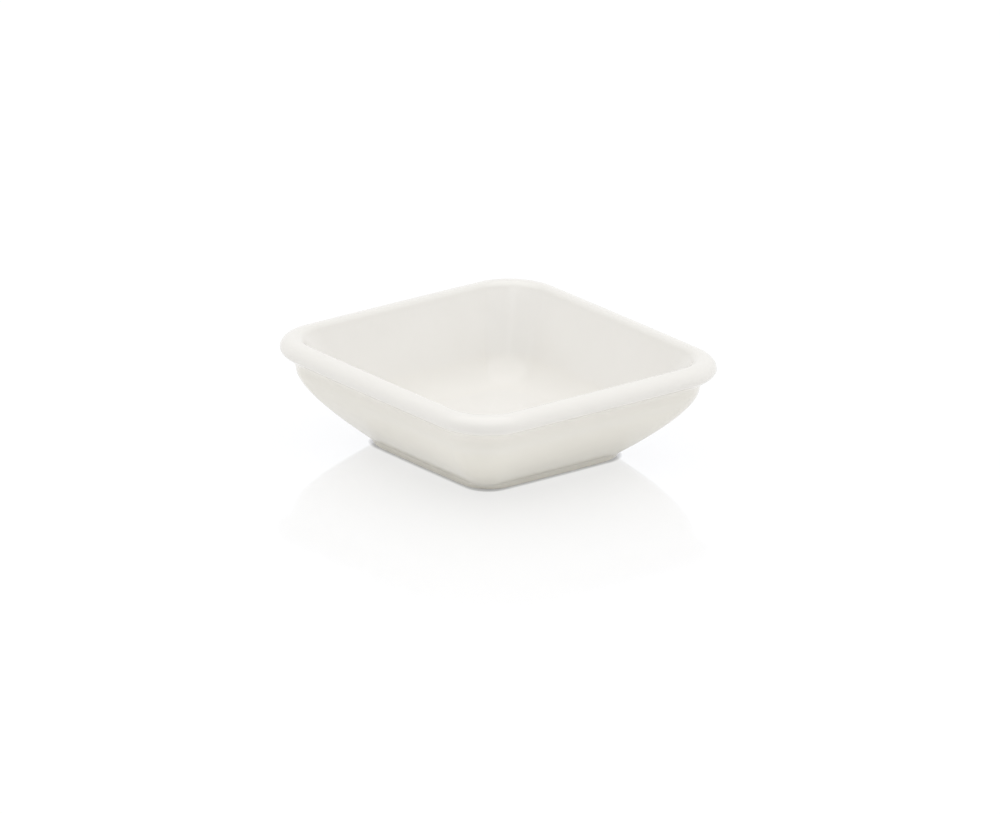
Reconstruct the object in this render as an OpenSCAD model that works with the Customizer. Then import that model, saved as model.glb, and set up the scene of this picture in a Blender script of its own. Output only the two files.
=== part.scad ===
// Square bowl in glazed porcelain, with a rolled rim and a ground foot.
// It stands on the plane z = 0, centred on the origin, with +Z up. Lengths are in millimetres.
//
// Each skin is a stack of rings. A ring is a rounded square, and three values place it:
// [inset from the rim's outer edge, height above the table, corner radius].

/* [Bowl] */
// Width over the rim at the middle of its sides, the same both ways
rim_width = 100; // [86:1:130]
// Height from the table to the top of the rim
bowl_height = 31.4; // [28:0.2:42]
// Corner radius of the plan at the rim
rim_corner = 16.5; // [14:0.5:20]
// How far each side of the plan bulges out at its middle
side_bow = 0.3; // [0:0.1:1.2]

/* [Rim bead] */
// Distance from the bead's outermost point in to its crest
bead_outside = 4.2; // [3.8:0.1:5]
// Distance from the bead's crest in to the inner wall
bead_inside = 2.4; // [2:0.1:3.4]
// Height from the bead's outermost point up to its crest
bead_top = 3.2; // [2.6:0.1:3.8]
// How round the bead's upper side is: a share of 1 is full, and 0 a straight slope
bead_share = 0.7; // [0.5:0.05:0.8]
// Height over which the bead's inner side rounds down
bead_drop = 2.8; // [2.2:0.1:3.4]
// Height from the crease under the bead up to its outermost point
bead_under = 3.4; // [2.8:0.1:4]
// Share of that height over which the underside turns upright
under_share = 0.35; // [0.25:0.01:0.5]
// How far in from the bead's outermost point the crease lies
crease_inset = 4.4; // [3.8:0.1:5]
// Rounding of the crease under the bead
crease_round = 3; // [2:0.1:3.4]

/* [Wall] */
// How far the outer wall bulges from a straight line
belly = 2.4; // [1.4:0.1:3]
// Where along the wall its bulge is drawn to, as a share of its length
belly_share = 0.73; // [0.6:0.01:0.78]
// Thickness of the wall halfway up, glazes included
wall_thickness = 4.6; // [3.8:0.1:5.6]
// Corner radius of the wall where it leaves the foot
wall_corner = 6.2; // [5:0.1:9]

/* [Inside] */
// Height of the floor inside, above the table
floor_height = 6.7; // [6:0.1:8.5]
// Length of wall, and of floor, that their rounding takes
floor_round = 8.5; // [6:0.1:9.5]
// Corner radius of the floor
floor_corner = 8; // [6:0.5:12]

/* [Foot] */
// Width of the foot over its faces, where they meet the table
foot_width = 55.2; // [52:0.2:58]
// Corner radius of the foot at the table
foot_corner = 8.4; // [7:0.1:10]
// Height of the foot's face
foot_height = 1.7; // [1.5:0.1:2.2]
// How far the foot's face leans out over its height
foot_flare = 0.3; // [0.1:0.1:0.8]
// Rounding of the crease between the foot and the wall
foot_crease = 0.7; // [0.4:0.1:0.8]
// Width of the foot ring at the table, edges included
foot_ring = 3.8; // [3:0.1:4.4]
// Rounding of the foot ring's lower edges
foot_edge = 0.5; // [0.3:0.05:0.6]
// Depth ground off the rounded foot so that it stands flat
foot_grind = 0.12; // [0.06:0.01:0.18]
// Height of the hollow under the base
base_hollow = 1.7; // [1.4:0.1:2]
// Corner radius of the hollow where it begins
hollow_corner = 6; // [4:0.1:8]
// Rounding at the edge of the hollow's ceiling
hollow_round = 1.2; // [0.8:0.1:1.6]

/* [Glaze] */
// Thickness of the fired glaze
glaze_thickness = 0.25; // [0.15:0.01:0.35]
// Height of the bare strip that is wiped round the foot
bare_strip = 0.4; // [0.3:0.05:0.5]

/* [Hidden] */

biscuit_colour = "#e6e0d3";
glaze_colour = "#f1eee4";

// Steps along each stretch of a skin, and round a ring
face_steps = 2;
crease_steps = 5;
wall_steps = 10;
under_steps = 5;
bead_steps = 8;
drop_steps = 6;
inner_steps = 4;
floor_steps = 8;
edge_steps = 3;
corner_steps = 8;
side_steps = 4;
ring_points = 4 * (corner_steps + side_steps);

half_width = rim_width / 2;
foot_inset = (rim_width - foot_width) / 2;
bead_level = bowl_height - bead_top;
drop_level = bowl_height - bead_drop;

// A point on the bead's inner quarter: 90 degrees is the crest and 0 its innermost point
function bead_inner(turn) = [
    bead_outside + bead_inside * cos(turn),
    drop_level + bead_drop * sin(turn)
];

// A point on the line of the foot's face, at a height
function face_point(height) = [foot_inset - foot_flare * height / foot_height, height];

// The two ends of the outer wall, and the point that its belly is drawn towards
wall_start = face_point(foot_height);
wall_end = [crease_inset, bead_level - bead_under];
wall_run = wall_end - wall_start;
wall_inward = [wall_run[1], -wall_run[0]] / norm(wall_run);
wall_turn = wall_start + belly_share * wall_run - 2 * belly * wall_inward;
wall_middle = (wall_start + 2 * wall_turn + wall_end) / 4;

// The inner wall: a line through the wall's middle that just touches the bead's inner side
inner_middle = wall_middle + wall_thickness * wall_inward;
touch_x = (inner_middle[0] - bead_outside) / bead_inside;
touch_y = (inner_middle[1] - drop_level) / bead_drop;
touch_turn = atan2(touch_y, touch_x) + acos(1 / norm([touch_x, touch_y]));
inner_start = bead_inner(touch_turn);
inner_down = (inner_middle - inner_start) / norm(inner_middle - inner_start);
floor_turn = inner_start + (inner_start[1] - floor_height) / -inner_down[1] * inner_down;
floor_from = floor_turn - floor_round * inner_down;
floor_to = floor_turn + [floor_round, 0];

// The hollow under the base, from the foot ring's inner side to its flat ceiling
ring_inset = foot_inset + foot_ring;
hollow_start = [ring_inset, bare_strip];
hollow_turn = [ring_inset + bare_strip, base_hollow];
hollow_to = hollow_turn + [hollow_round, 0];

function unit(v) = v / norm(v);

// Points on the line between two points
function line(from, to, steps) = [for (i = [0:steps]) from + (to - from) * i / steps];

// Points on a curve that leaves from towards turn and arrives at to. The less the share, the
// nearer it stays to a straight line.
function curve(from, turn, to, steps, share = 1) = [
    for (i = [0:steps])
        let (
            t = i / steps,
            a = (1 - t) * (1 - t),
            b = 2 * share * t * (1 - t),
            c = t * t
        )
            (a * from + b * turn + c * to) / (a + b + c)
];

// A list of stretches as one path, without the points that two stretches share
function joined(stretches) =
    let (all = [for (s = stretches) each s])
        [for (i = [0:len(all) - 1]) if (i == 0 || norm(all[i] - all[max(i, 1) - 1]) > 0) all[i]];

function reversed(list) = [for (i = [len(list) - 1:-1:0]) list[i]];

// Corner radius outside. It shrinks with the inset down to the crease's, then eases to the wall's.
function outer_corner(inset) =
    let (crease_corner = rim_corner - crease_inset)
        inset < crease_inset ? rim_corner - inset :
            crease_corner + (wall_corner - crease_corner) * (inset - crease_inset)
                / (wall_start[0] - crease_inset);

// Corner radius inside, eased from the bead's crest to the floor
function inner_corner(inset) =
    let (
        crest = outer_corner(bead_outside),
        part = min(1, (inset - bead_outside) / (floor_to[0] - bead_outside))
    )
        crest + (floor_corner - crest) * part * part * (3 - 2 * part);

// Corner radius on the foot's face. It is rounder than the wall's, so the crease fades out there.
function face_corner(height) =
    foot_corner + (wall_corner - foot_corner) * min(1, height / foot_height);

function with_corner(p, radius) = [p[0], p[1], radius];

// The outside from the bare strip up to the bead's crest
outside_path =
    let (
        below = face_point(foot_height - foot_crease),
        above = wall_start + foot_crease * unit(wall_turn - wall_start),
        under = wall_end + crease_round * unit(wall_turn - wall_end),
        under_turn = [0, bead_level - under_share * bead_under],
        over = wall_end + crease_round * unit(under_turn - wall_end)
    )
        joined([
            line(face_point(bare_strip), below, face_steps),
            curve(below, wall_start, above, crease_steps),
            curve(above, wall_turn, under, wall_steps),
            curve(under, wall_end, over, crease_steps),
            curve(over, under_turn, [0, bead_level], under_steps),
            curve([0, bead_level], [0, bowl_height], [bead_outside, bowl_height], bead_steps, bead_share)
        ]);

// The inside from the crest down to the flat floor
inside_path = joined([
    [for (turn = line(90, touch_turn, drop_steps)) bead_inner(turn)],
    line(inner_start, floor_from, inner_steps),
    curve(floor_from, floor_turn, floor_to, floor_steps)
]);

coat_skin = concat(
    [
        for (p = outside_path)
            with_corner(p, p[1] < foot_height ? face_corner(p[1]) : outer_corner(p[0]))
    ],
    [
        for (i = [1:len(inside_path) - 1])
            with_corner(inside_path[i], inner_corner(inside_path[i][0]))
    ]
);

// The skin under the base follows the foot ring's inner side and its ceiling
base_skin = [
    for (p = curve(hollow_start, hollow_turn, hollow_to, crease_steps))
        with_corner(p, hollow_corner + ring_inset - p[0])
];

// The same skin set back by the glaze's thickness, where clay and glaze meet. The clay lies
// to the right of the path where side is 1, and to its left where side is -1.
function set_back(skin, side) = [
    for (i = [0:len(skin) - 1])
        let (
            run = skin[min(i + 1, len(skin) - 1)] - skin[max(i - 1, 0)],
            level = i == len(skin) - 1,
            into = level ? [0, -side] : side * unit([run[1], -run[0]])
        )
            skin[i] + glaze_thickness * [into[0], into[1], -into[0]]
];

coat_back = set_back(coat_skin, 1);
base_back = set_back(base_skin, -1);

// The bare foot between the two glazes, before it is ground: both sides run on down and
// round into a level land
bare_foot =
    let (
        outer = [coat_back[0][0], coat_back[0][1]],
        inner = [base_back[0][0], base_back[0][1]],
        outer_down = unit([foot_flare, -foot_height]),
        inner_down = unit([hollow_start[0] - hollow_turn[0], hollow_start[1] - hollow_turn[1]]),
        outer_low = outer - (outer[1] + foot_grind) / outer_down[1] * outer_down,
        inner_low = inner - (inner[1] + foot_grind) / inner_down[1] * inner_down,
        inner_side = curve(
            inner_low - foot_edge * inner_down,
            inner_low,
            inner_low - [foot_edge, 0],
            edge_steps
        ),
        outer_side = curve(
            outer_low + [foot_edge, 0],
            outer_low,
            outer_low - foot_edge * outer_down,
            edge_steps
        )
    )
        concat(
            [for (p = inner_side) with_corner(p, hollow_corner)],
            [for (p = outer_side) with_corner(p, foot_corner)]
        );

// One ring of points, anticlockwise from above
function ring(place) =
    let (
        half = half_width - side_bow - place[0],
        radius = min(place[2], half),
        straight = half - radius,
        quarter = concat(
            [for (i = [0:side_steps - 1]) [half, straight * (2 * i / side_steps - 1)]],
            [
                for (i = [0:corner_steps - 1])
                    [straight, straight] + radius * [cos(90 * i / corner_steps), sin(90 * i / corner_steps)]
            ]
        )
    )
        [
            for (q = [0:3], p = quarter)
                let (
                    x = cos(90 * q) * p[0] - sin(90 * q) * p[1],
                    y = sin(90 * q) * p[0] + cos(90 * q) * p[1]
                )
                    [
                        x + side_bow * x / half * (1 - y * y / (half * half)),
                        y + side_bow * y / half * (1 - x * x / (half * half)),
                        place[1]
                    ]
        ];

// A closed solid from a stack of rings, with a flat face across the first and the last
module stack(places) {
    count = len(places);
    points = [for (place = places) each ring(place)];
    sides = [
        for (i = [0:count - 2], k = [0:ring_points - 1])
            let (
                a = i * ring_points + k,
                b = i * ring_points + (k + 1) % ring_points
            )
                each [[a, a + ring_points, b], [b, a + ring_points, b + ring_points]]
    ];
    first_face = [for (k = [0:ring_points - 1]) k];
    last_face = [for (k = [0:ring_points - 1]) count * ring_points - 1 - k];
    polyhedron(points, concat(sides, [first_face, last_face]), convexity = 6);
}

module porcelain_body() {
    color(biscuit_colour)
        difference() {
            stack(concat(reversed(base_back), bare_foot, coat_back));
            translate([-half_width, -half_width, -rim_width]) cube(rim_width);
        }
}

module glaze_coat() {
    color(glaze_colour) stack(concat(reversed(coat_back), coat_skin));
}

module base_glaze() {
    color(glaze_colour) stack(concat(reversed(base_skin), base_back));
}

porcelain_body();
glaze_coat();
base_glaze();
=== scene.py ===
from math import acos, atan2, cos, degrees, radians, sin, sqrt

import bmesh
import bpy
from mathutils import Matrix, Vector


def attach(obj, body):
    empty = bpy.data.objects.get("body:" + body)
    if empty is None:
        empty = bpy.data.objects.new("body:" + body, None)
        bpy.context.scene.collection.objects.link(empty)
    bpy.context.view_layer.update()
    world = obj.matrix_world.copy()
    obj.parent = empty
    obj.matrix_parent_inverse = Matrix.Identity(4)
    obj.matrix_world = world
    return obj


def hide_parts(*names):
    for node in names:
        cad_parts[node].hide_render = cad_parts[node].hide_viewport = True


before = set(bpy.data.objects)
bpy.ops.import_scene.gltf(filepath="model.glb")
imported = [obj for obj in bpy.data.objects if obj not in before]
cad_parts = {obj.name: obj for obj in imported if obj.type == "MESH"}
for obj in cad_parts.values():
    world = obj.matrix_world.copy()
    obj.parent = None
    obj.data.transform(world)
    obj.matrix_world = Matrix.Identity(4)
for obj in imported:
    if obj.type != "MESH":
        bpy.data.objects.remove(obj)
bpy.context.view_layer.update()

# Square bowl in glazed porcelain. Its pieces follow the same named sizes as the solids, in
# millimetres, with finer steps. Everything in the scene itself is in metres.
MM = 0.001

RIM_WIDTH = 100
BOWL_HEIGHT = 31.4
RIM_CORNER = 16.5
SIDE_BOW = 0.3

BEAD_OUTSIDE = 4.2
BEAD_INSIDE = 2.4
BEAD_TOP = 3.2
BEAD_SHARE = 0.7
BEAD_DROP = 2.8
BEAD_UNDER = 3.4
UNDER_SHARE = 0.35
CREASE_INSET = 4.4
CREASE_ROUND = 3

BELLY = 2.4
BELLY_SHARE = 0.73
WALL_THICKNESS = 4.6
WALL_CORNER = 6.2

FLOOR_HEIGHT = 6.7
FLOOR_ROUND = 8.5
FLOOR_CORNER = 8

FOOT_WIDTH = 55.2
FOOT_CORNER = 8.4
FOOT_HEIGHT = 1.7
FOOT_FLARE = 0.3
FOOT_CREASE = 0.7
FOOT_RING = 3.8
FOOT_EDGE = 0.5
FOOT_GRIND = 0.12
BASE_HOLLOW = 1.7
HOLLOW_CORNER = 6
HOLLOW_ROUND = 1.2

GLAZE_THICKNESS = 0.25
BARE_STRIP = 0.4
HOLLOW_REACH = 2

# Steps along each stretch of a skin, round a corner and along a side
FACE_STEPS = 4
CREASE_STEPS = 12
WALL_STEPS = 24
UNDER_STEPS = 16
BEAD_STEPS = 24
DROP_STEPS = 16
INNER_STEPS = 12
FLOOR_STEPS = 18
EDGE_STEPS = 5
CORNER_STEPS = 20
SIDE_CUTS = 11


# The paths of the skins. Each point is [inset from the rim's outer edge, height].

HALF_WIDTH = RIM_WIDTH / 2
FOOT_INSET = (RIM_WIDTH - FOOT_WIDTH) / 2
BEAD_LEVEL = BOWL_HEIGHT - BEAD_TOP
DROP_LEVEL = BOWL_HEIGHT - BEAD_DROP


def point(inset, height):
    return Vector((inset, height))


def bead_inner(turn):
    """A point on the bead's inner quarter: 90 degrees is the crest, 0 its innermost point."""
    a = radians(turn)
    return point(BEAD_OUTSIDE + BEAD_INSIDE * cos(a), DROP_LEVEL + BEAD_DROP * sin(a))


def face_point(height):
    """A point on the line of the foot's face."""
    return point(FOOT_INSET - FOOT_FLARE * height / FOOT_HEIGHT, height)


def line(start, end, steps):
    """Points on the straight line from start to end, or numbers between two numbers."""
    return [start + (end - start) * (i / steps) for i in range(steps + 1)]


def curve(start, turn, end, steps, share=1):
    """Points on a curve that leaves start towards turn and arrives at end. The less the share, the
    nearer it stays to a straight line."""
    made = []
    for i in range(steps + 1):
        t = i / steps
        a, b, c = (1 - t) * (1 - t), 2 * share * t * (1 - t), t * t
        made.append((a * start + b * turn + c * end) / (a + b + c))
    return made


def joined(*stretches):
    """The stretches as one path, without the points that two of them share."""
    made = []
    for p in (p for s in stretches for p in s):
        if not made or (p - made[-1]).length > 0:
            made.append(p)
    return made


wall_start = face_point(FOOT_HEIGHT)
wall_end = point(CREASE_INSET, BEAD_LEVEL - BEAD_UNDER)
wall_run = wall_end - wall_start
wall_inward = point(wall_run.y, -wall_run.x).normalized()
wall_turn = wall_start + BELLY_SHARE * wall_run - 2 * BELLY * wall_inward
wall_middle = (wall_start + 2 * wall_turn + wall_end) / 4

# The inside leaves the bead where a straight line down to the wall's inner middle touches it
inner_middle = wall_middle + WALL_THICKNESS * wall_inward
touch = point(
    (inner_middle.x - BEAD_OUTSIDE) / BEAD_INSIDE,
    (inner_middle.y - DROP_LEVEL) / BEAD_DROP,
)
touch_turn = degrees(atan2(touch.y, touch.x) + acos(1 / touch.length))
inner_start = bead_inner(touch_turn)
inner_down = (inner_middle - inner_start).normalized()
floor_turn = inner_start + (inner_start.y - FLOOR_HEIGHT) / -inner_down.y * inner_down
floor_from = floor_turn - FLOOR_ROUND * inner_down
floor_to = floor_turn + point(FLOOR_ROUND, 0)

ring_inset = FOOT_INSET + FOOT_RING
hollow_start = point(ring_inset, BARE_STRIP)
hollow_turn = point(ring_inset + BARE_STRIP, BASE_HOLLOW)
hollow_to = hollow_turn + point(HOLLOW_ROUND, 0)


def outer_corner(inset):
    """Corner radius outside: less by the inset down to the crease, then eased to the wall's."""
    crease_corner = RIM_CORNER - CREASE_INSET
    if inset < CREASE_INSET:
        return RIM_CORNER - inset
    part = (inset - CREASE_INSET) / (wall_start.x - CREASE_INSET)
    return crease_corner + (WALL_CORNER - crease_corner) * part


def inner_corner(inset):
    """Corner radius inside, eased from the bead's crest to the floor."""
    crest = outer_corner(BEAD_OUTSIDE)
    part = min(1, (inset - BEAD_OUTSIDE) / (floor_to.x - BEAD_OUTSIDE))
    return crest + (FLOOR_CORNER - crest) * part * part * (3 - 2 * part)


def face_corner(height):
    """Corner radius on the foot's face, rounder than the wall's."""
    return FOOT_CORNER + (WALL_CORNER - FOOT_CORNER) * min(1, height / FOOT_HEIGHT)


def outside_path():
    """The outside from the bare strip up to the bead's crest."""
    below = face_point(FOOT_HEIGHT - FOOT_CREASE)
    above = wall_start + FOOT_CREASE * (wall_turn - wall_start).normalized()
    under = wall_end + CREASE_ROUND * (wall_turn - wall_end).normalized()
    under_turn = point(0, BEAD_LEVEL - UNDER_SHARE * BEAD_UNDER)
    over = wall_end + CREASE_ROUND * (under_turn - wall_end).normalized()
    widest = point(0, BEAD_LEVEL)
    bead_turn = point(0, BOWL_HEIGHT)
    crest = point(BEAD_OUTSIDE, BOWL_HEIGHT)
    return joined(
        line(face_point(BARE_STRIP), below, FACE_STEPS),
        curve(below, wall_start, above, CREASE_STEPS),
        curve(above, wall_turn, under, WALL_STEPS),
        curve(under, wall_end, over, CREASE_STEPS),
        curve(over, under_turn, widest, UNDER_STEPS),
        curve(widest, bead_turn, crest, BEAD_STEPS, BEAD_SHARE),
    )


def inside_path():
    """The inside from the crest down to the flat floor."""
    return joined(
        [bead_inner(turn) for turn in line(90, touch_turn, DROP_STEPS)],
        line(inner_start, floor_from, INNER_STEPS),
        curve(floor_from, floor_turn, floor_to, FLOOR_STEPS),
    )


# A place is [inset, height, corner radius], and stands for one ring of the bowl's plan. A skin is a
# row of places.

def place(p, radius):
    return (p.x, p.y, radius)


def outside_place(p):
    """A place on the foot's face or on the wall and bead above it."""
    return place(p, face_corner(p.y) if p.y < FOOT_HEIGHT else outer_corner(p.x))


def inside_place(p):
    return place(p, inner_corner(p.x))


def hollow_place(p):
    """A place in the hollow under the base, whose corners are sharper further in."""
    return place(p, HOLLOW_CORNER + ring_inset - p.x)


# The crest is the last point outside and the first one inside, so it is left out of the latter
coat_skin = [outside_place(p) for p in outside_path()]
coat_skin += [inside_place(p) for p in inside_path()[1:]]
base_skin = [hollow_place(p) for p in curve(hollow_start, hollow_turn, hollow_to, CREASE_STEPS)]


def set_back(skin, side):
    """The same skin set back by the glaze's thickness, where clay and glaze meet. The side is 1 for
    the coat and -1 for the base, whose skin runs the other way about."""
    made = []
    for i, (inset, height, radius) in enumerate(skin):
        after = skin[min(i + 1, len(skin) - 1)]
        before = skin[max(i - 1, 0)]
        run = point(after[0] - before[0], after[1] - before[1])
        into = side * point(run.y, -run.x).normalized()
        if i == len(skin) - 1:
            into = point(0, -side)
        made.append((
            inset + GLAZE_THICKNESS * into.x,
            height + GLAZE_THICKNESS * into.y,
            radius - GLAZE_THICKNESS * into.x,
        ))
    return made


coat_back = set_back(coat_skin, 1)
base_back = set_back(base_skin, -1)


# This measure sets the glaze's painted shade in hollows and creases and on crests
def hollow_and_crest_shade(skin):
    """How deep each ring lies in a hollow, or with a minus sign how far it stands on a crest: its
    offset from the line between the skin's points a reach before and after it, over the reach."""
    path = [point(inset, height) for inset, height, radius in skin]
    made = []
    for i, p in enumerate(path):
        before = next((q for q in reversed(path[:i]) if (q - p).length > HOLLOW_REACH), path[0])
        after = next((q for q in path[i:] if (q - p).length > HOLLOW_REACH), path[-1])
        chord = after - before
        offset = (before + after) / 2 - p
        made.append((chord.x * offset.y - chord.y * offset.x) / chord.length / HOLLOW_REACH)
    return made


# This measure sets the glaze's painted shade down the outer wall
def lower_wall_shade(skin):
    """How far down the outer wall each ring lies: 0 at the bead and inside, and 1 at the foot. It is
    the root of the share of the way, so it grows soonest just under the bead."""
    way = BEAD_LEVEL - wall_start.y
    crest = max(range(len(skin)), key=lambda i: skin[i][1])
    made = []
    for i, (inset, height, radius) in enumerate(skin):
        down = (BEAD_LEVEL - height) / way
        made.append(sqrt(max(0, min(1, down))) if i < crest else 0)
    return made


def bare_foot():
    """The foot between the two glazes: both sides run down and round into the ground land."""
    outer = point(*coat_back[0][:2])
    inner = point(*base_back[0][:2])
    outer_down = point(FOOT_FLARE, -FOOT_HEIGHT).normalized()
    inner_down = (hollow_start - hollow_turn).normalized()
    outer_low = outer - (outer.y + FOOT_GRIND) / outer_down.y * outer_down
    inner_low = inner - (inner.y + FOOT_GRIND) / inner_down.y * inner_down
    edge = point(FOOT_EDGE, 0)
    inner_side = curve(inner_low - FOOT_EDGE * inner_down, inner_low, inner_low - edge, EDGE_STEPS)
    outer_side = curve(outer_low + edge, outer_low, outer_low - FOOT_EDGE * outer_down, EDGE_STEPS)
    inner_places = [place(p, HOLLOW_CORNER) for p in inner_side]
    return inner_places + [place(p, FOOT_CORNER) for p in outer_side]


# Modelling

# The plan ring that all rings are drawn from: how far it reaches each way from its middle, how much
# of that the round corner takes, and what is left of it for the straight side
RING_REACH = 2
RING_CORNER = 1
RING_STRAIGHT = RING_REACH - RING_CORNER

# Where two faces turn by less than this, the edge between them is shaded smooth
SMOOTH_TURN = radians(40)
LAND_SMOOTH_TURN = radians(12)


def object_from(bm, name):
    """A new object in the scene in the shape of bm, which isn't needed after it."""
    mesh = bpy.data.meshes.new(name)
    bm.to_mesh(mesh)
    bm.free()
    made = bpy.data.objects.new(name, mesh)
    bpy.context.scene.collection.objects.link(made)
    return made


def plan_ring(bm, straight_part, corner_part):
    """One ring of the plan: a square whose corners are bevelled round and whose sides are cut.
    Each point remembers what part of it lies in the straight side and what in the round corner."""
    square = bmesh.ops.create_grid(bm, x_segments=1, y_segments=1, size=RING_REACH)
    bmesh.ops.bevel(
        bm, geom=square["verts"], offset=RING_CORNER, offset_type="OFFSET", segments=CORNER_STEPS,
        profile=0.5, affect="VERTICES", material=-1,
    )
    sides = [e for e in bm.edges if e.calc_length() > RING_CORNER]
    bmesh.ops.subdivide_edges(bm, edges=sides, cuts=SIDE_CUTS)
    bmesh.ops.delete(bm, geom=bm.faces[:], context="FACES_ONLY")
    for v in bm.verts:
        x = max(-RING_STRAIGHT, min(RING_STRAIGHT, v.co.x))
        y = max(-RING_STRAIGHT, min(RING_STRAIGHT, v.co.y))
        v[straight_part] = Vector((x, y, 0))
        v[corner_part] = v.co - v[straight_part]
    return bm.edges[:]


def stack(name, places, hollow_shades, lower_shades):
    """A closed solid drawn up ring by ring through its places, flat across the first and the last.
    Each ring keeps how deep it lies in a hollow and how far down the outer wall it lies, which set
    the glaze's painted shade."""
    bm = bmesh.new()
    bm.verts.layers.float.new("hollow_and_crest_shade")
    bm.verts.layers.float.new("lower_wall_shade")
    hollow_shade_part = bm.verts.layers.float["hollow_and_crest_shade"]
    lower_shade_part = bm.verts.layers.float["lower_wall_shade"]
    straight_part = bm.verts.layers.float_vector.new("straight_part")
    corner_part = bm.verts.layers.float_vector.new("corner_part")
    edges = plan_ring(bm, straight_part, corner_part)
    first = edges
    for i, (inset, height, radius) in enumerate(places):
        if i:
            drawn = bmesh.ops.extrude_edge_only(bm, edges=edges)["geom"]
            edges = [g for g in drawn if isinstance(g, bmesh.types.BMEdge)]
            edges = [e for e in edges if len(e.link_faces) == 1]
        half = HALF_WIDTH - SIDE_BOW - inset
        bow = SIDE_BOW / half
        radius = min(radius, half)
        for v in {v for e in edges for v in e.verts}:
            p = (half - radius) * v[straight_part] + radius * v[corner_part]
            x = p.x + bow * p.x * (1 - p.y * p.y / (half * half))
            y = p.y + bow * p.y * (1 - p.x * p.x / (half * half))
            v.co = MM * Vector((x, y, height))
            v[hollow_shade_part] = hollow_shades[i]
            v[lower_shade_part] = lower_shades[i]
    bmesh.ops.edgeloop_fill(bm, edges=first)
    bmesh.ops.edgeloop_fill(bm, edges=edges)
    bmesh.ops.recalc_face_normals(bm, faces=bm.faces[:])
    bm.verts.layers.float_vector.remove(bm.verts.layers.float_vector["straight_part"])
    bm.verts.layers.float_vector.remove(bm.verts.layers.float_vector["corner_part"])
    for face in bm.faces:
        face.smooth = True
    for edge in bm.edges:
        edge.smooth = edge.calc_face_angle(0) < SMOOTH_TURN
    return object_from(bm, name)


body_skin = base_back[::-1] + bare_foot() + coat_back
plain = [0] * len(body_skin)
body = stack("fired_porcelain_body", body_skin, plain, plain)

# The two faces of a glaze take the same painted shade
coat_hollow_shades = hollow_and_crest_shade(coat_skin)
coat_lower_shades = lower_wall_shade(coat_skin)
coat = stack(
    "outer_and_inner_glaze", coat_back[::-1] + coat_skin, coat_hollow_shades[::-1] + coat_hollow_shades,
    coat_lower_shades[::-1] + coat_lower_shades,
)
# The base's skin runs the other way about, so its hollows and crests for the painted shade take the
# other sign
base_hollow_shades = [-hollow_depth for hollow_depth in hollow_and_crest_shade(base_skin)]
base = stack(
    "glaze_under_base", base_skin[::-1] + base_back, base_hollow_shades[::-1] + base_hollow_shades,
    [0] * (2 * len(base_skin)),
)

# The foot is ground flat where it meets the table
ground = bmesh.new()
ground.from_mesh(body.data)
cut = bmesh.ops.bisect_plane(
    ground, geom=ground.verts[:] + ground.edges[:] + ground.faces[:],
    plane_co=(0, 0, 0), plane_no=(0, 0, -1), clear_outer=True,
)
rims = [e for e in cut["geom_cut"] if isinstance(e, bmesh.types.BMEdge)]
land = bmesh.ops.bridge_loops(ground, edges=rims)["faces"]
for face in land:
    face.smooth = True
for edge in rims:
    edge.smooth = edge.calc_face_angle(0) < LAND_SMOOTH_TURN
bmesh.ops.recalc_face_normals(ground, faces=ground.faces[:])
ground.to_mesh(body.data)
ground.free()

for piece, node, slot in (
    (body, "porcelain_body", "biscuit"),
    (coat, "glaze_coat", "glaze"),
    (base, "base_glaze", "glaze"),
):
    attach(piece, "root")
    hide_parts(node)


# Materials. Their patterns read the object's own coordinates, in metres.

# Nearly all of a noise lies between these two
NOISE_LOW = 0.3
NOISE_HIGH = 0.7

# A Mix node's sockets share their names, so they are found by number: first, second and result
MIXED_NUMBERS = ("FLOAT", 2, 3, 0)
MIXED_COLOURS = ("RGBA", 6, 7, 2)


def new_material(name):
    material = bpy.data.materials.new(name)
    material.use_nodes = True
    material.node_tree.nodes.clear()
    out = material.node_tree.nodes.new("ShaderNodeOutputMaterial")
    return material, material.node_tree.nodes, material.node_tree.links, out


def new_group(name, inputs, outputs):
    """A node group. Its inputs are given as name: (socket, default), its outputs as name: socket."""
    group = bpy.data.node_groups.new(name, "ShaderNodeTree")
    for label, (socket, default) in inputs.items():
        made = group.interface.new_socket(label, in_out="INPUT", socket_type=socket)
        made.default_value = default
    for label, socket in outputs.items():
        group.interface.new_socket(label, in_out="OUTPUT", socket_type=socket)
    start = group.nodes.new("NodeGroupInput")
    end = group.nodes.new("NodeGroupOutput")
    return group, group.nodes, group.links, start, end


def use_group(nodes, group, **values):
    """The group placed in a material, with its own values, named with _ in place of blanks."""
    node = nodes.new("ShaderNodeGroup")
    node.node_tree = group
    for label, value in values.items():
        node.inputs[label.replace("_", " ")].default_value = value
    return node


def noise(nodes, links, detail, scale=None):
    """Noise on the object's coordinates, with its scale in patches per metre."""
    coordinates = nodes.new("ShaderNodeTexCoord")
    made = nodes.new("ShaderNodeTexNoise")
    made.inputs["Detail"].default_value = detail
    if scale:
        made.inputs["Scale"].default_value = scale
    links.new(coordinates.outputs["Object"], made.inputs["Vector"])
    return made


def spread(nodes, links, source, low, high, to_low=0, to_high=1):
    """Stretches what lies between low and high over the range from to_low to to_high."""
    made = nodes.new("ShaderNodeMapRange")
    made.inputs["From Min"].default_value = low
    made.inputs["From Max"].default_value = high
    made.inputs["To Min"].default_value = to_low
    made.inputs["To Max"].default_value = to_high
    links.new(source, made.inputs["Value"])
    return made.outputs["Result"]


def combined(nodes, links, operation, first, second):
    """One number made of two."""
    made = nodes.new("ShaderNodeMath")
    made.operation = operation
    links.new(first, made.inputs[0])
    links.new(second, made.inputs[1])
    return made.outputs[0]


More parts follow.
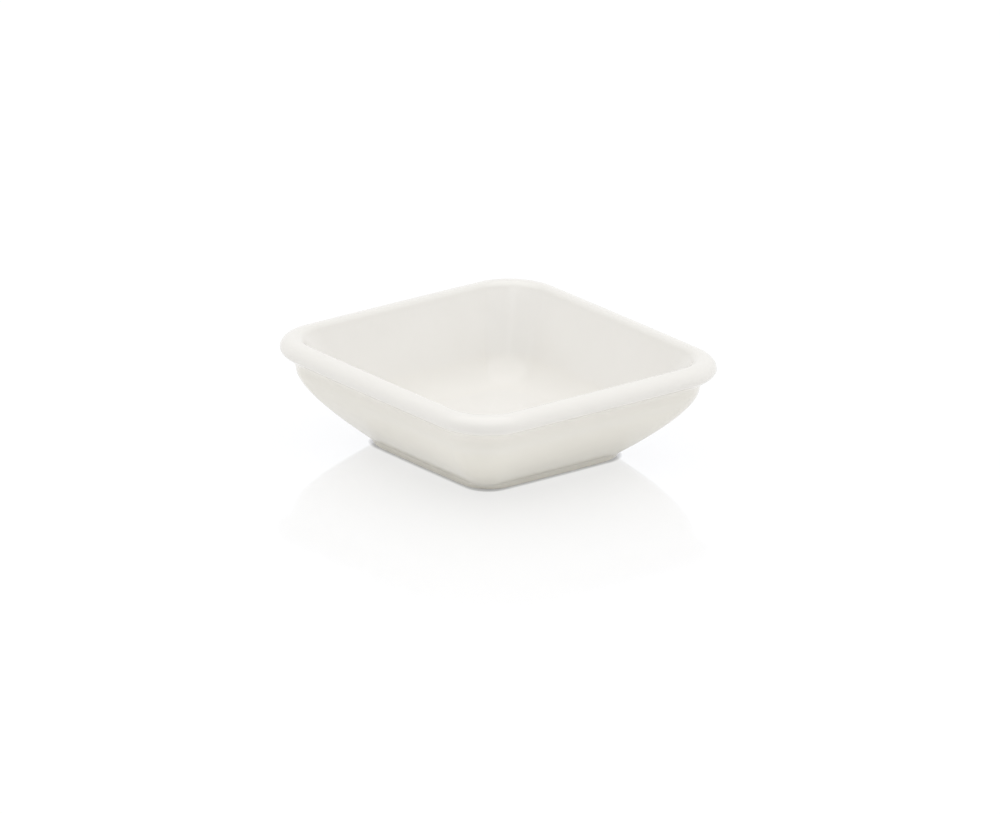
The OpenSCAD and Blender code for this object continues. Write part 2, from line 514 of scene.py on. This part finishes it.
def mixed(nodes, links, kind, share, first, second):
    """Between first and second, which are values or sockets: the share is that of the second."""
    data_type, first_number, second_number, result_number = kind
    made = nodes.new("ShaderNodeMix")
    made.data_type = data_type
    links.new(share, made.inputs["Factor"])
    for number, value in ((first_number, first), (second_number, second)):
        if isinstance(value, bpy.types.NodeSocket):
            links.new(value, made.inputs[number])
        else:
            made.inputs[number].default_value = value
    return made.outputs[result_number]


def blend(nodes, links, share, first, second):
    """A colour between first and second, which are colours or sockets."""
    return mixed(nodes, links, MIXED_COLOURS, share, first, second)


def kept_value(nodes, label):
    """What the points of a skin keep under this label."""
    made = nodes.new("ShaderNodeAttribute")
    made.attribute_name = label
    return made.outputs["Fac"]


def add_bump(nodes, links, shader, height, relief):
    """Bump on a shader from a height between 0 and 1, with its full relief in metres."""
    bump = nodes.new("ShaderNodeBump")
    bump.inputs["Strength"].default_value = 1
    bump.inputs["Distance"].default_value = relief
    links.new(height, bump.inputs["Height"])
    links.new(bump.outputs["Normal"], shader.inputs["Normal"])


def seen_by_eye(nodes, links):
    """1 for what the camera sees, by itself or in a reflection, and 0 for what only gives light."""
    ray = nodes.new("ShaderNodeLightPath")
    return combined(
        nodes, links, "MAXIMUM", ray.outputs["Is Camera Ray"], ray.outputs["Is Glossy Ray"]
    )


def clouded_tone():
    """Two tones that run into each other in soft clouds, as on all fired ware."""
    group, nodes, links, start, end = new_group(
        "clouded_tone",
        {
            "Patches per Metre": ("NodeSocketFloat", 90),
            "Light Tone": ("NodeSocketColor", (1, 1, 1, 1)),
            "Deep Tone": ("NodeSocketColor", (0.9, 0.9, 0.9, 1)),
        },
        {"Tone": "NodeSocketColor"},
    )
    clouds = noise(nodes, links, detail=3)
    links.new(start.outputs["Patches per Metre"], clouds.inputs["Scale"])
    cloud = spread(nodes, links, clouds.outputs["Fac"], NOISE_LOW, NOISE_HIGH)
    tone = blend(nodes, links, cloud, start.outputs["Light Tone"], start.outputs["Deep Tone"])
    links.new(tone, end.inputs["Tone"])
    return group


def uneven_skin():
    """The height of a skin that swells broadly and has a fine grain on top, and the grain alone."""
    group, nodes, links, start, end = new_group(
        "uneven_skin",
        {
            "Swells per Metre": ("NodeSocketFloat", 150),
            "Grains per Metre": ("NodeSocketFloat", 1500),
            "Grain Share": ("NodeSocketFloat", 0.1),
        },
        {"Height": "NodeSocketFloat", "Grain": "NodeSocketFloat"},
    )
    swell = noise(nodes, links, detail=1)
    grain = noise(nodes, links, detail=2)
    links.new(start.outputs["Swells per Metre"], swell.inputs["Scale"])
    links.new(start.outputs["Grains per Metre"], grain.inputs["Scale"])
    height = mixed(
        nodes, links, MIXED_NUMBERS, start.outputs["Grain Share"],
        swell.outputs["Fac"], grain.outputs["Fac"],
    )
    links.new(height, end.inputs["Height"])
    links.new(grain.outputs["Fac"], end.inputs["Grain"])
    return group


CLOUDS = clouded_tone()
SKIN = uneven_skin()

# The glaze's tones: its light and deep clouds, and painted shade that is darker and yellower down
# the outer wall and in the hollows and creases, and darker on the crests
GLAZE_LIGHT = (0.802, 0.787, 0.755, 1)
GLAZE_DEEP = (0.791, 0.775, 0.741, 1)
GLAZE_LOWER_SHADE = (0.790, 0.764, 0.682, 1)
GLAZE_HOLLOW_SHADE = (0.790, 0.764, 0.705, 1)
GLAZE_CREST_SHADE = (0.776, 0.760, 0.726, 1)

# The hollow measure at which the painted shade in the hollows and on the crests begins and is full
HOLLOW_SHADE_FROM = 0.04
HOLLOW_SHADE_FULL = 0.3
CREST_SHADE_FROM = -0.08
CREST_SHADE_FULL = -0.35

GLAZE_SPOTS_PER_METRE = 260
GLAZE_SMOOTHEST = 0.10
GLAZE_ROUGHEST = 0.16
GLAZE_RELIEF = 0.000014

# The bare clay's tones: its light and deep clouds, and the dust in its pores
CLAY_LIGHT = (0.80, 0.77, 0.71, 1)
CLAY_DEEP = (0.73, 0.70, 0.63, 1)
CLAY_DUST = (0.58, 0.55, 0.49, 1)

# The grain at which the dust begins and is full
DUST_FROM = 0.56
DUST_FULL = 0.72

CLAY_SMOOTHEST = 0.62
CLAY_ROUGHEST = 0.85
CLAY_RELIEF = 0.00008


def glaze_material():
    """Cream-white glass, with painted shade in its tone: darker and yellower in the hollows and
    creases and down the outer wall towards the foot, and darker on the crests."""
    material, nodes, links, out = new_material("cream_glaze")
    shader = nodes.new("ShaderNodeBsdfPrincipled")
    clouds = use_group(
        nodes, CLOUDS, Patches_per_Metre=70, Light_Tone=GLAZE_LIGHT, Deep_Tone=GLAZE_DEEP
    )
    hollowness = kept_value(nodes, "hollow_and_crest_shade")
    lower_share = kept_value(nodes, "lower_wall_shade")
    # Painted shade in the hollows and creases: a darker, yellower tone where the skin lies in a
    # hollow
    hollow = spread(nodes, links, hollowness, HOLLOW_SHADE_FROM, HOLLOW_SHADE_FULL)
    # Painted shade on the crests: a darker tone where the skin stands out
    crest = spread(nodes, links, hollowness, CREST_SHADE_FROM, CREST_SHADE_FULL)
    # Painted shade down the outer wall: darker and yellower towards the foot
    wall = blend(nodes, links, lower_share, clouds.outputs["Tone"], GLAZE_LOWER_SHADE)
    deep = blend(nodes, links, hollow, wall, GLAZE_HOLLOW_SHADE)
    tone = blend(nodes, links, crest, deep, GLAZE_CREST_SHADE)
    links.new(tone, shader.inputs["Base Color"])

    spots = noise(nodes, links, detail=2, scale=GLAZE_SPOTS_PER_METRE)
    roughness = spread(
        nodes, links, spots.outputs["Fac"], NOISE_LOW, NOISE_HIGH, GLAZE_SMOOTHEST, GLAZE_ROUGHEST
    )
    links.new(roughness, shader.inputs["Roughness"])

    skin = use_group(nodes, SKIN, Swells_per_Metre=140, Grains_per_Metre=1300, Grain_Share=0.06)
    add_bump(nodes, links, shader, skin.outputs["Height"], GLAZE_RELIEF)
    links.new(shader.outputs[0], out.inputs[0])
    return material


def biscuit_material():
    """Bare fired clay: matt and gritty, with the dust of the grinding wheel in its pores."""
    material, nodes, links, out = new_material("bare_porcelain")
    shader = nodes.new("ShaderNodeBsdfPrincipled")
    clouds = use_group(
        nodes, CLOUDS, Patches_per_Metre=420, Light_Tone=CLAY_LIGHT, Deep_Tone=CLAY_DEEP
    )
    skin = use_group(nodes, SKIN, Swells_per_Metre=900, Grains_per_Metre=4200, Grain_Share=0.6)
    dust = spread(nodes, links, skin.outputs["Grain"], DUST_FROM, DUST_FULL)
    tone = blend(nodes, links, dust, clouds.outputs["Tone"], CLAY_DUST)
    links.new(tone, shader.inputs["Base Color"])

    roughness = spread(
        nodes, links, skin.outputs["Grain"], NOISE_LOW, NOISE_HIGH, CLAY_SMOOTHEST, CLAY_ROUGHEST
    )
    links.new(roughness, shader.inputs["Roughness"])
    add_bump(nodes, links, shader, skin.outputs["Height"], CLAY_RELIEF)
    links.new(shader.outputs[0], out.inputs[0])
    return material


glaze = glaze_material()
biscuit = biscuit_material()
for piece, material in ((body, biscuit), (coat, glaze), (base, glaze)):
    piece.data.materials.append(material)


# Floor: a polished white table. To the camera and in reflections it mostly glows by itself, so it
# is white, and it mirrors the bowl less and less further out. The camera alone sees it darken where
# the foot meets it. For the light that it sends back to the bowl it is plain white.

WHITE = (1, 1, 1, 1)
FLOOR_SIZE = 8
FLOOR_WHITE = (0.94, 0.94, 0.94, 1)
FLOOR_SHADE = (0.13, 0.13, 0.13, 1)
FLOOR_GLOW = 0.9
CONTACT_REACH = 0.0015
CONTACT_DARKEST_AT = 0.5
CONTACT_SHARE = 0.5
MIRROR_COLOUR = (0.935, 0.95, 1, 1)
MIRROR_ROUGHNESS = 0.03
MIRROR_NEAR = 0.035
MIRROR_FAR = 0.17
MIRROR_SHARE_NEAR = 0.28
MIRROR_SHARE_FAR = 0.07


def floor_material():
    material, nodes, links, out = new_material("white_table")
    seen = seen_by_eye(nodes, links)

    # The table itself, white or glowing, with the contact shadow
    shader = nodes.new("ShaderNodeBsdfPrincipled")
    shader.inputs["Roughness"].default_value = 1
    shader.inputs["Specular IOR Level"].default_value = 0
    shader.inputs["Emission Color"].default_value = WHITE
    links.new(blend(nodes, links, seen, FLOOR_WHITE, FLOOR_SHADE), shader.inputs["Base Color"])
    contact = nodes.new("ShaderNodeAmbientOcclusion")
    contact.inputs["Distance"].default_value = CONTACT_REACH
    open_share = spread(
        nodes, links, contact.outputs["AO"], CONTACT_DARKEST_AT, 1, to_low=CONTACT_SHARE
    )
    by_camera = nodes.new("ShaderNodeLightPath").outputs["Is Camera Ray"]
    shadow = mixed(nodes, links, MIXED_NUMBERS, by_camera, 1, open_share)
    glow = spread(nodes, links, seen, 0, 1, to_high=FLOOR_GLOW)
    glow_left = combined(nodes, links, "MULTIPLY", shadow, glow)
    links.new(glow_left, shader.inputs["Emission Strength"])

    # Its polish, which shows to the eye alone
    mirror = nodes.new("ShaderNodeBsdfGlossy")
    mirror.inputs["Color"].default_value = MIRROR_COLOUR
    mirror.inputs["Roughness"].default_value = MIRROR_ROUGHNESS
    spot = nodes.new("ShaderNodeTexCoord")
    reach = nodes.new("ShaderNodeVectorMath")
    reach.operation = "LENGTH"
    links.new(spot.outputs["Object"], reach.inputs[0])
    fading = spread(
        nodes, links, reach.outputs["Value"], MIRROR_NEAR, MIRROR_FAR,
        MIRROR_SHARE_NEAR, MIRROR_SHARE_FAR,
    )
    both = nodes.new("ShaderNodeMixShader")
    links.new(combined(nodes, links, "MULTIPLY", fading, seen), both.inputs[0])
    links.new(shader.outputs[0], both.inputs[1])
    links.new(mirror.outputs[0], both.inputs[2])
    links.new(both.outputs[0], out.inputs[0])
    return material


table_shape = bmesh.new()
bmesh.ops.create_grid(table_shape, x_segments=1, y_segments=1, size=FLOOR_SIZE / 2)
table = object_from(table_shape, "table_top")
table.data.materials.append(floor_material())


# Light: a bright room, with a softbox overhead and one on either side, of which the glaze mirrors
# only the first. Azimuths are counted from the camera's side, to the right in the picture.

AZIMUTH = radians(49.48)
ELEVATION = radians(19.85)
ROOM_STRENGTH = 0.6


def direction(azimuth, elevation):
    """The way from the bowl to what stands at this azimuth and elevation, in radians."""
    return Vector((
        sin(azimuth) * cos(elevation),
        -cos(azimuth) * cos(elevation),
        sin(elevation),
    ))


def softbox(name, azimuth, elevation, distance, width, depth, watts, mirrored):
    towards = direction(AZIMUTH + radians(azimuth), radians(elevation))
    light = bpy.data.lights.new(name, "AREA")
    light.shape = "RECTANGLE"
    light.size = width
    light.size_y = depth
    light.energy = watts
    lamp = bpy.data.objects.new(name, light)
    lamp.location = distance * towards
    lamp.visible_glossy = mirrored
    lamp.rotation_mode = "QUATERNION"
    lamp.rotation_quaternion = (-towards).to_track_quat("-Z", "Y")
    bpy.context.scene.collection.objects.link(lamp)


softbox(
    "overhead_softbox", azimuth=0, elevation=90, distance=1.6,
    width=2, depth=2, watts=9.1, mirrored=True,
)
softbox(
    "left_softbox", azimuth=-82, elevation=40, distance=1.8,
    width=2.8, depth=2, watts=11.5, mirrored=False,
)
softbox(
    "right_softbox", azimuth=82, elevation=40, distance=1.8,
    width=2.8, depth=2, watts=12.4, mirrored=False,
)

# The room is white to the eye, and lights the bowl at its own strength
world = bpy.data.worlds.new("studio")
bpy.context.scene.world = world
world.use_nodes = True
nodes, links = world.node_tree.nodes, world.node_tree.links
room = nodes["Background"]
room.inputs["Color"].default_value = WHITE
strength = spread(nodes, links, seen_by_eye(nodes, links), 0, 1, to_low=ROOM_STRENGTH)
links.new(strength, room.inputs["Strength"])


# Camera. The picture's middle lies off the bowl's, by the two offsets in pixels.

ROLL = radians(1.9)
DISTANCE = 3.94
FOCAL_PIXELS = 13589
OFFSET_RIGHT = 3.2
OFFSET_UP = -9.45
IMAGE_WIDTH = 1000
SENSOR_WIDTH = 36
CLIP_END = 20

back = direction(AZIMUTH, ELEVATION)
level_right = Vector((cos(AZIMUTH), sin(AZIMUTH), 0))
level_up = back.cross(level_right)
right = cos(ROLL) * level_right + sin(ROLL) * level_up
up = -sin(ROLL) * level_right + cos(ROLL) * level_up
pixel = DISTANCE / FOCAL_PIXELS
middle = Vector((0, 0, BOWL_HEIGHT * MM / 2))
target = middle + (OFFSET_RIGHT * right + OFFSET_UP * up) * pixel
stand = Matrix.Translation(target + DISTANCE * back)
turn = Matrix((right, up, back)).transposed().to_4x4()

camera_data = bpy.data.cameras.new("camera")
camera_data.sensor_width = SENSOR_WIDTH
camera_data.lens = FOCAL_PIXELS * SENSOR_WIDTH / IMAGE_WIDTH
camera_data.clip_end = CLIP_END
camera = bpy.data.objects.new("camera", camera_data)
camera.matrix_world = stand @ turn
bpy.context.scene.collection.objects.link(camera)
bpy.context.scene.camera = camera

bpy.context.scene.view_settings.view_transform = "Standard"
